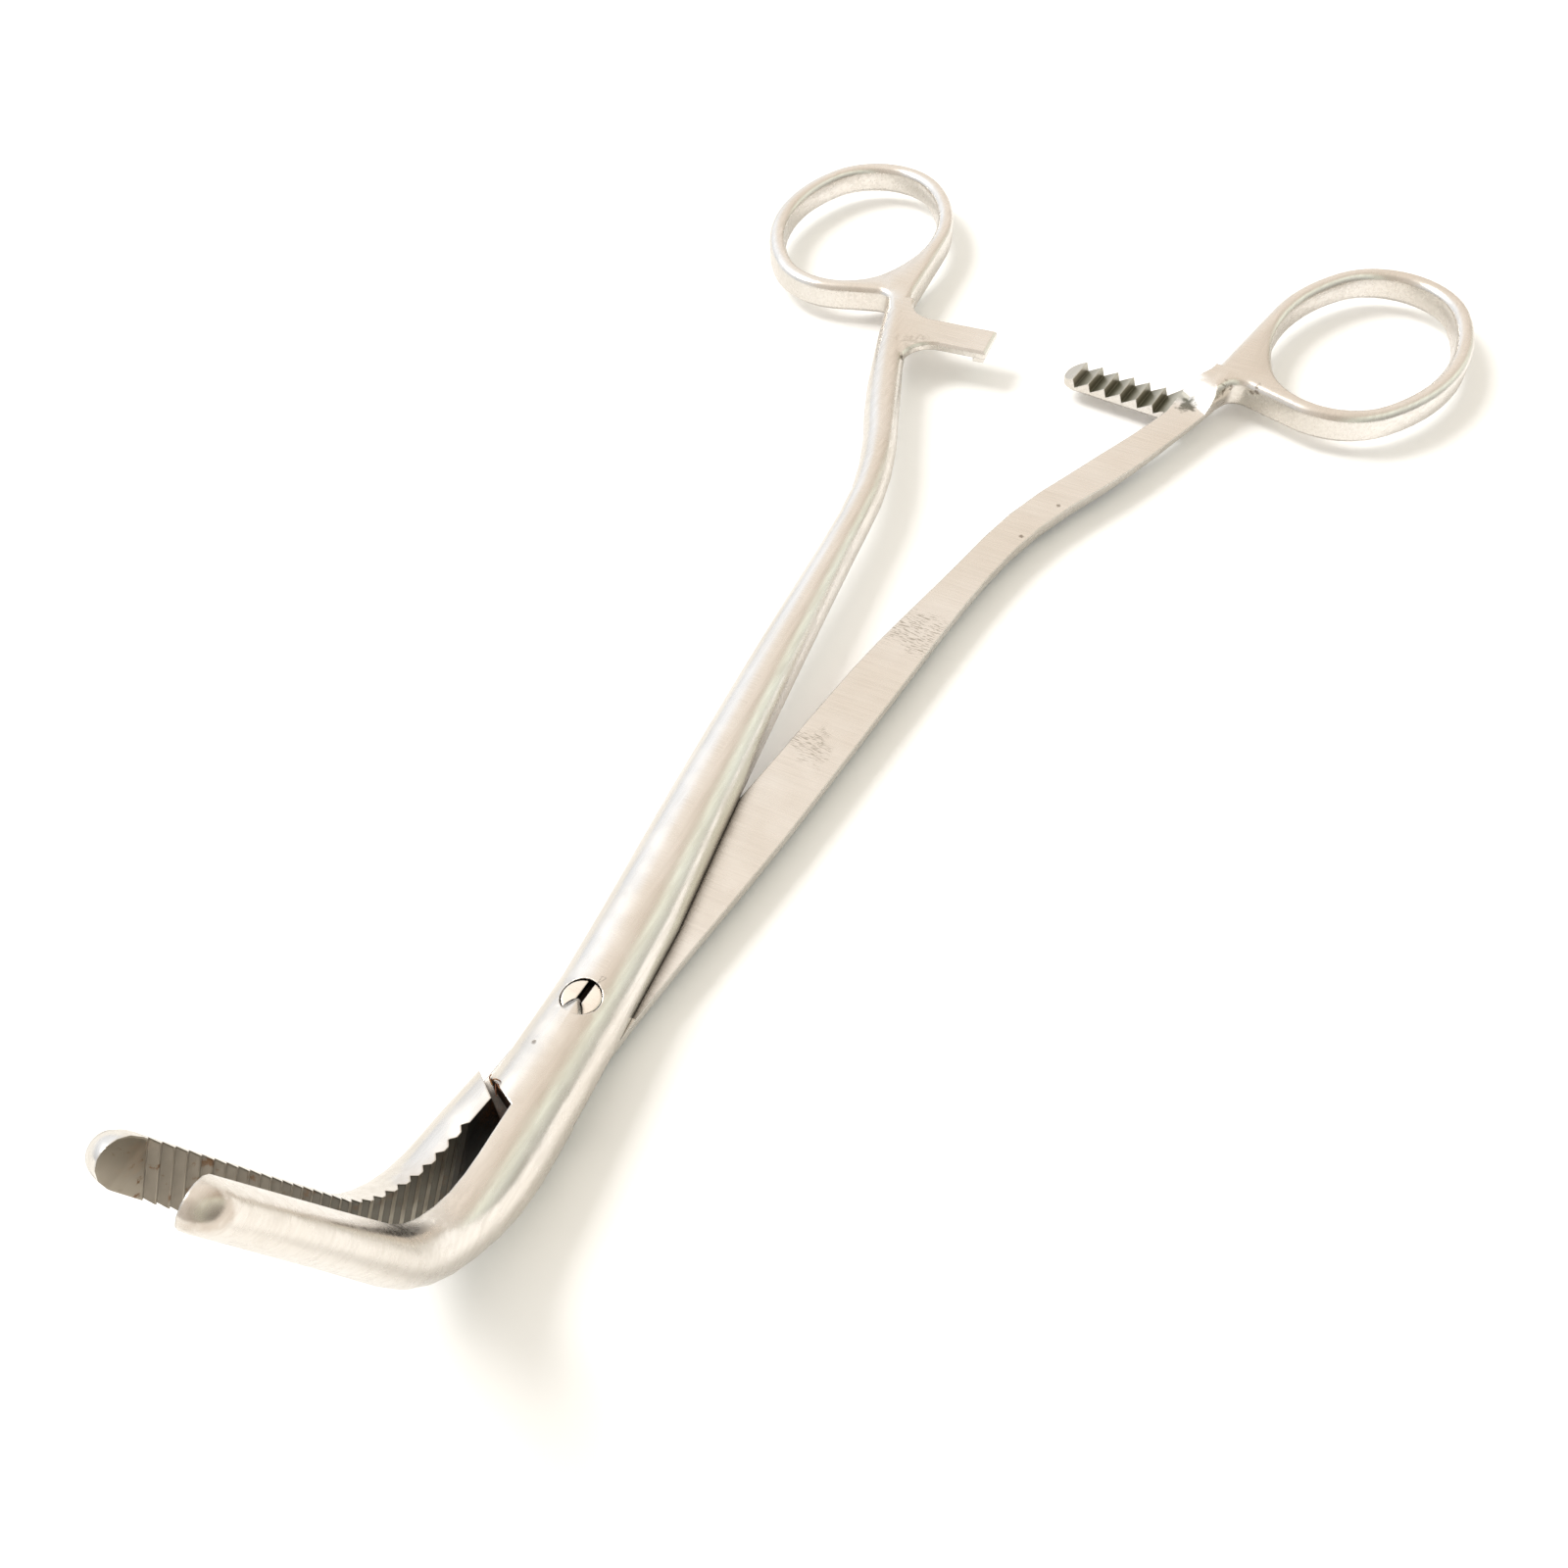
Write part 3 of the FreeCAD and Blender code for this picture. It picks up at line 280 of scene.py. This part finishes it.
def tarnish_face(nodes, place, parts, normal, patches, tone, rough, face_side):
    """Dark serrated face with brighter lands, black at the heel and rusty at the tip."""
    facing = nodes.math("MULTIPLY", normal["X"], face_side)
    jaw = nodes.math("LESS_THAN", parts["Y"], SHOULDER[0][1])
    face = nodes.math("MULTIPLY", jaw, nodes.ramp(facing, 0.5, 0.6))
    land = nodes.ramp(facing, 0.93, 0.98)
    past_y = nodes.math("SUBTRACT", parts["Y"], FIRST_GROOVE[0])
    past_z = nodes.math("SUBTRACT", parts["Z"], FIRST_GROOVE[1])
    behind = nodes.math("SUBTRACT", nodes.math("MULTIPLY", past_y, math.cos(GROOVE_LEAN)),
                        nodes.math("MULTIPLY", past_z, math.sin(GROOVE_LEAN)))
    heel = nodes.ramp(behind, -3.0, 0.6)
    towards_tip = nodes.ramp(parts["Z"], 14, 38)
    grooves = nodes.mix(towards_tip, GROOVE, GROOVE_AT_TIP)
    lands = nodes.mix(nodes.ramp(patches, 0.35, 0.65), LAND, LAND_DULL)
    lands = nodes.mix(towards_tip, lands, LAND_AT_TIP)
    dark = nodes.mix(land, grooves, lands)
    dark = nodes.mix(heel, dark, HEEL_BLACK)
    specks = nodes.math("MULTIPLY", nodes.ramp(nodes.noise(place, 0.7, 5, 0.7), 0.56, 0.66),
                        nodes.ramp(parts["Z"], 6, 42, 0.25, 0.9))
    dark = nodes.mix(specks, dark, RUST_SPECK)
    tone = nodes.mix(face, tone, dark)
    rough = nodes.math("ADD", rough, nodes.math("MULTIPLY", face, 0.14))
    return tone, rough


def slot_shade(nodes, parts, tone):
    """Painted shade that fills the screw's slot, just below the head's top."""
    top = screw_high[2] / MM
    # Painted shade: the slot is darkened below the head's top.
    below = nodes.ramp(parts["Z"], top - 0.14, top - 0.22)
    above = nodes.math("GREATER_THAN", parts["Z"], top - 2.0)
    return nodes.mix(nodes.math("MULTIPLY", below, above), tone, SLOT_SHADE)


def rack_stain_and_shade(nodes, place, parts, normal, tone, rough):
    """Olive-brown slopes between the ratchet's teeth, paler at the arm's tip, with painted shade
    towards the notch bottoms.
    """
    box = inside(nodes, parts, RACK_LOW, RACK_HIGH)
    slope = nodes.math("MULTIPLY", nodes.ramp(normal["Z"], 0.1, 0.2),
                       nodes.ramp(normal["Z"], 0.97, 0.92))
    share = nodes.math("MULTIPLY", nodes.math("MULTIPLY", box, slope),
                       nodes.ramp(parts["X"], 2.5, 8.0, 0.35, 0.95))
    # Painted shade: the slopes darken towards the notch bottoms, where the teeth shade each other.
    low = nodes.ramp(parts["Z"], 4.0, 2.9)
    tone = nodes.mix(share, tone, nodes.mix(low, TOOTH_PALE, TOOTH_SHADED))
    spill = near(nodes, place, *RACK_STAIN, ragged=0.5)
    tone = nodes.mix(nodes.math("MULTIPLY", spill, 0.85), tone, TOOTH_STAIN)
    rough = nodes.math("ADD", rough, nodes.math("MULTIPLY", share, 0.12))
    return tone, rough


def wear(nodes, place, normal, grain, tone, rough, height):
    """Scratch clusters, pits, weld spatter, a ground patch and rust."""
    turned = nodes.add("ShaderNodeMapping", {"Vector": place, "Rotation": (0, 0, 0.9),
                                             "Scale": (0.9, 7.0, 1.0)}).outputs[0]
    other = nodes.add("ShaderNodeMapping", {"Vector": place, "Rotation": (0, 0, -0.5),
                                            "Scale": (0.8, 6.0, 1.0)}).outputs[0]
    lines = nodes.math("MAXIMUM", nodes.ramp(nodes.noise(turned, 1.0, 2), 0.55, 0.62),
                       nodes.ramp(nodes.noise(other, 1.0, 2), 0.57, 0.64))
    cluster = nodes.math("MULTIPLY", lines, nearest(nodes, place, SCRATCHES, 0.5))
    tone = nodes.mix(nodes.math("MULTIPLY", cluster, 0.75), tone, SCRATCH_TONE)
    height = nodes.math("SUBTRACT", height, nodes.math("MULTIPLY", cluster, 1.2))

    pits = nearest(nodes, place, PITS, 0.2)
    spatter = nodes.math("MULTIPLY", nearest(nodes, place, WELDS),
                         nodes.ramp(nodes.noise(place, 1.7, 4), 0.5, 0.62))
    ground = nodes.math("MULTIPLY", nearest(nodes, place, GRINDING),
                        nodes.ramp(nodes.noise(place, 1.3, 4), 0.40, 0.64))
    marks = nodes.math("MAXIMUM", nodes.math("MAXIMUM", pits, spatter),
                       nodes.math("MULTIPLY", ground, 0.45))
    tone = nodes.mix(nodes.math("MULTIPLY", marks, 0.75), tone, MARK_TONE)
    height = nodes.math("SUBTRACT", height, nodes.math("MULTIPLY", marks, 3.0))

    brown = nodes.math("MAXIMUM", near(nodes, place, *FRONT_TIP_BROWN, ragged=0.3),
                       near(nodes, place, *BACK_TIP_RUST, ragged=0.5))
    tone = nodes.mix(nodes.math("MULTIPLY", brown, 0.55), tone, TIP_BROWN)

    # Rust and grime on the shoulder's end face and in its crevice
    hidden = nodes.math("MAXIMUM", nodes.ramp(nodes.openness(3.0), 0.8, 0.5),
                        nodes.ramp(normal["Y"], -0.5, -0.7))
    rust = nodes.math("MULTIPLY", near(nodes, place, *SHOULDER, ragged=0.2), hidden)
    stain = nodes.mix(nodes.ramp(grain, 0.4, 0.6), RUST_BLACK, RUST_RED)
    tone = nodes.mix(nodes.math("MULTIPLY", rust, 0.97), tone, stain)
    rough = nodes.math("ADD", rough, nodes.math("MULTIPLY", rust, 0.3))
    return tone, rough, height


# Shading of the frame's meshes

SHARP_EDGE = math.radians(32)
SEAM_WIDTH = 0.002 * MM

# How far the seat's wall stands off the screw's head, and how high the drill reaches over it.
SEAT_PLAY = 0.06 * MM
DRILL_DEPTH = 1.5 * MM


def smooth_shading_group(angle):
    """Geometry nodes that shade a mesh smooth apart from its edges sharper than the angle."""
    group = bpy.data.node_groups.new("smooth_but_edges", "GeometryNodeTree")
    group.interface.new_socket("Geometry", in_out="INPUT", socket_type="NodeSocketGeometry")
    group.interface.new_socket("Geometry", in_out="OUTPUT", socket_type="NodeSocketGeometry")
    entry = group.nodes.new("NodeGroupInput")
    leave = group.nodes.new("NodeGroupOutput")
    edge_angle = group.nodes.new("GeometryNodeInputMeshEdgeAngle")
    sharp = group.nodes.new("FunctionNodeCompare")
    sharp.operation = "GREATER_THAN"
    sharp.inputs["B"].default_value = angle
    faces = group.nodes.new("GeometryNodeSetShadeSmooth")
    faces.domain = "FACE"
    edges = group.nodes.new("GeometryNodeSetShadeSmooth")
    edges.domain = "EDGE"
    edges.inputs["Shade Smooth"].default_value = False
    link = group.links.new
    link(edge_angle.outputs["Unsigned Angle"], sharp.inputs["A"])
    link(entry.outputs[0], faces.inputs["Geometry"])
    link(faces.outputs[0], edges.inputs["Geometry"])
    link(sharp.outputs[0], edges.inputs["Selection"])
    link(edges.outputs[0], leave.inputs[0])
    return group


def open_seat_group(material):
    """Geometry nodes meant to cut away the thin skin that the solid leaves over the front of the
    screw's head. They don't: the skin was still there in the evaluated mesh. They are kept
    because taking them out changes the mesh."""
    group = bpy.data.node_groups.new("open_seat", "GeometryNodeTree")
    group.interface.new_socket("Geometry", in_out="INPUT", socket_type="NodeSocketGeometry")
    group.interface.new_socket("Geometry", in_out="OUTPUT", socket_type="NodeSocketGeometry")
    entry = group.nodes.new("NodeGroupInput")
    leave = group.nodes.new("NodeGroupOutput")
    drill = group.nodes.new("GeometryNodeMeshCylinder")
    drill.inputs["Vertices"].default_value = 96
    drill.inputs["Radius"].default_value = (screw_high[0] - screw_low[0]) / 2 + SEAT_PLAY
    drill.inputs["Depth"].default_value = DRILL_DEPTH
    place = group.nodes.new("GeometryNodeTransform")
    place.inputs["Translation"].default_value = (pivot.x, pivot.y, screw_high[2] + DRILL_DEPTH / 2)
    dress_cut = group.nodes.new("GeometryNodeSetMaterial")
    dress_cut.inputs["Material"].default_value = material
    cut = group.nodes.new("GeometryNodeMeshBoolean")
    cut.operation = "DIFFERENCE"
    link = group.links.new
    link(drill.outputs["Mesh"], place.inputs["Geometry"])
    link(place.outputs[0], dress_cut.inputs["Geometry"])
    link(entry.outputs[0], cut.inputs[0])
    link(dress_cut.outputs[0], cut.inputs[1])
    link(cut.outputs[0], leave.inputs[0])
    return group


def soften(node, group):
    """Joins the seams of a frame mesh and shades it smooth."""
    weld = node.modifiers.new("seams", "WELD")
    weld.merge_threshold = SEAM_WIDTH
    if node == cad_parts["upper_half"]:
        seat = node.modifiers.new("open_seat", "NODES")
        seat.node_group = open_seat_group(node.data.materials[0])
    smooth = node.modifiers.new("smooth", "NODES")
    smooth.node_group = group


def dress():
    group = smooth_shading_group(SHARP_EDGE)
    finishes = {
        "upper_half": steel("upper_steel", HALF_TINT, -1),
        "lower_half": steel("lower_steel", HALF_TINT, 1),
        "pivot_screw": steel("screw_steel", SCREW_TINT, 0),
    }
    for name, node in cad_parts.items():
        node.data.materials.clear()
        node.data.materials.append(finishes[name])
        soften(node, group)


# Fibres caught in the shoulder, as (start, middle, end).
FIBRES = [
    ((-3.0, -70.5, 8.4), (-2.8, -70.9, 8.7), (-2.3, -71.3, 8.5)),
    ((-2.6, -70.9, 8.4), (-2.2, -70.8, 8.8), (-1.8, -70.7, 8.6)),
    ((-2.0, -70.9, 8.3), (-1.7, -71.2, 8.7), (-1.2, -71.4, 8.4)),
    ((-2.2, -71.0, 8.2), (-1.7, -71.6, 8.5), (-1.5, -71.9, 8.2)),
]
FIBRE_RADIUS = 0.06 * MM
FIBRE_DARK = colour(0.14, 0.05, 0.02)
FIBRE_PALE = colour(0.32, 0.15, 0.05)


def add_fibres():
    """Thin brown fibres that stick in the shoulder of the upper half."""
    curve = bpy.data.curves.new("fibres", "CURVE")
    curve.dimensions = "3D"
    curve.bevel_depth = FIBRE_RADIUS
    curve.bevel_resolution = 1
    for points in FIBRES:
        spline = curve.splines.new("BEZIER")
        spline.bezier_points.add(len(points) - 1)
        for knot, point in zip(spline.bezier_points, points):
            knot.co = Vector(point) * MM
            knot.handle_left_type = knot.handle_right_type = "AUTO"
    fibres = bpy.data.objects.new("fibres", curve)
    bpy.context.collection.objects.link(fibres)
    material = bpy.data.materials.new("brown_fibre")
    material.use_nodes = True
    nodes = Nodes(material.node_tree)
    tone = nodes.mix(nodes.ramp(nodes.noise(nodes.millimetres(), 1.5, 2), 0.4, 0.6),
                     FIBRE_DARK, FIBRE_PALE)
    shader = nodes.add("ShaderNodeBsdfPrincipled", {"Base Color": tone, "Roughness": 0.8})
    nodes.add("ShaderNodeOutputMaterial", {"Surface": shader.outputs[0]})
    curve.materials.append(material)
    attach(fibres, "upper_body")


# Light and ground

# Tone of the studio by direction, from -X to +X, as (X, red, green, blue).
STUDIO = [
    (-1.0, 0.98, 1.03, 1.10),
    (-0.62, 1.14, 1.17, 1.22),
    (-0.36, 1.05, 0.97, 0.88),
    (0.0, 1.00, 0.90, 0.80),
    (0.30, 0.78, 0.69, 0.59),
    (0.56, 1.15, 1.20, 1.06),
    (0.78, 0.78, 0.79, 0.72),
    (1.0, 0.40, 0.38, 0.34),
]
LAMP_PLACE = (-1.1, -0.1, 1.3)
LAMP_SIDE = 0.7
LAMP_POWER = 18
LAMP_TINT = (1.0, 0.98, 0.95)
GROUND_HALF = 3.0
GROUND_TONES = (colour(0.96, 0.96, 0.96), colour(0.97, 0.97, 0.97))
GROUND_SEEN = colour(1.08, 1.08, 1.08)


def add_world():
    """A pale studio whose walls differ in tone, as the bands along the steel show."""
    world = bpy.data.worlds.new("studio")
    bpy.context.scene.world = world
    world.use_nodes = True
    nodes = Nodes(world.node_tree)
    direction = nodes.split(nodes.add("ShaderNodeTexCoord").outputs["Generated"])
    across = nodes.add("ShaderNodeMath", {0: direction["X"], 1: 0.5, 2: 0.5},
                       operation="MULTIPLY_ADD").outputs[0]
    ramp = nodes.add("ShaderNodeValToRGB", {"Fac": across})
    stops = ramp.color_ramp.elements
    stops[0].color = colour(*STUDIO[0][1:])
    stops[1].color = colour(*STUDIO[-1][1:])
    for x, red, green, blue in STUDIO[1:-1]:
        stops.new(x / 2 + 0.5).color = colour(red, green, blue)
    behind = nodes.ramp(direction["Y"], -0.6, 0.1, 0.72, 1.0)
    level = nodes.ramp(direction["Z"], -0.1, 0.35, 0.78, 1.0)
    background = nodes.add("ShaderNodeBackground", {
        "Color": ramp.outputs["Color"], "Strength": nodes.math("MULTIPLY", behind, level)})
    nodes.add("ShaderNodeOutputWorld", {"Surface": background.outputs[0]})


def add_lamp():
    data = bpy.data.lights.new("overhead", "AREA")
    data.shape = "RECTANGLE"
    data.size = data.size_y = LAMP_SIDE
    data.energy = LAMP_POWER
    data.color = LAMP_TINT
    lamp = bpy.data.objects.new("overhead", data)
    bpy.context.collection.objects.link(lamp)
    lamp.location = LAMP_PLACE
    lamp.rotation_euler = (-Vector(LAMP_PLACE)).to_track_quat("-Z", "Y").to_euler()


def add_floor():
    half = GROUND_HALF
    mesh = bpy.data.meshes.new("floor")
    corners = [(-half, -half, 0), (half, -half, 0), (half, half, 0), (-half, half, 0)]
    mesh.from_pydata(corners, [], [(0, 1, 2, 3)])
    floor = bpy.data.objects.new("floor", mesh)
    bpy.context.collection.objects.link(floor)
    material = bpy.data.materials.new("ground")
    material.use_nodes = True
    nodes = Nodes(material.node_tree)
    place = nodes.add("ShaderNodeTexCoord").outputs["Object"]
    tone = nodes.mix(nodes.noise(place, 20, 2), *GROUND_TONES)
    # The camera sees the ground as white paper, with the shadows still on it.
    seen = nodes.add("ShaderNodeLightPath").outputs["Is Camera Ray"]
    tone = nodes.mix(seen, tone, GROUND_SEEN)
    shader = nodes.add("ShaderNodeBsdfDiffuse", {"Color": tone, "Roughness": 0.5})
    nodes.add("ShaderNodeOutputMaterial", {"Surface": shader.outputs[0]})
    floor.data.materials.append(material)


bpy.context.scene.view_settings.view_transform = "Standard"
add_camera()
add_world()
add_floor()
add_lamp()
dress()
add_fibres()
